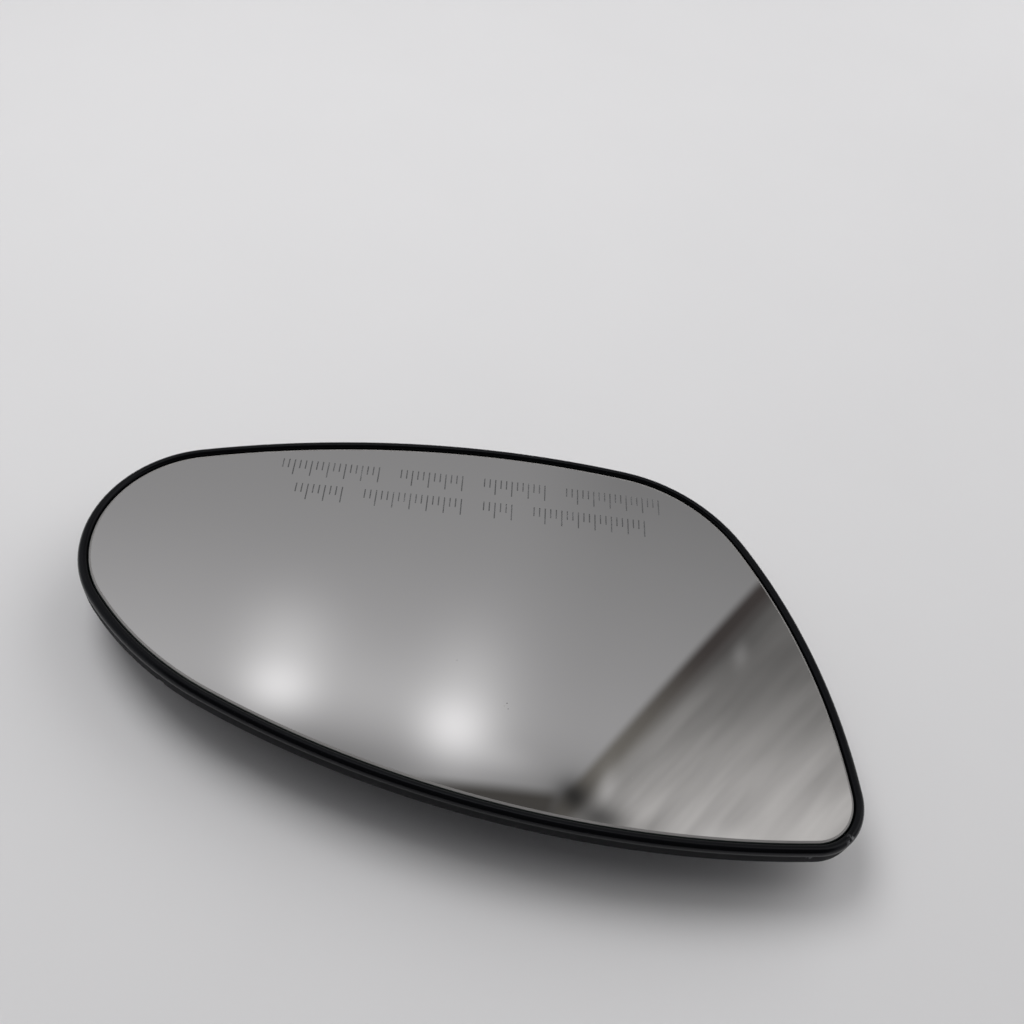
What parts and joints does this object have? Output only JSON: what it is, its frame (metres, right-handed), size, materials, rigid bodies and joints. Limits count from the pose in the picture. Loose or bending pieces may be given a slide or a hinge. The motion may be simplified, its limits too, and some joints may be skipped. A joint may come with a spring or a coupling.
{
  "type": "car door mirror glass",
  "caption": "Convex door mirror glass in a black moulded backing plate with a rolled rim, and a ring of claws behind it that snaps onto a round drive head.",
  "frame": {"origin": "centre of the claw ring on the back, at the middle of its retaining bead, which the drive head snaps into", "axes": "+X runs to the wide end of the glass, +Y to the far long side as the picture shows it, and +Z out of the glass along the axis of the claw ring. The part lies face up on the flat ends of its claws, 1.6 mm below the origin."},
  "size_m": [0.1798, 0.1002, 0.0201],
  "materials": {
    "mirror_glass": "polished convex mirror with a ground edge",
    "heater_film": "satin film",
    "foam_pad": "matte foam",
    "black_plastic": "satin moulded plastic",
    "terminal_brass": "plated satin",
    "rivet_steel": "satin"
  },
  "bodies": {
    "root": {"mirror_glass": "mirror_glass", "heater_film": "heater_film", "adhesive_pad": "foam_pad", "backing_plate": "black_plastic", "heater_terminal_near": "terminal_brass", "heater_terminal_far": "terminal_brass", "terminal_rivets": "rivet_steel"}
  },
  "joints": []
}
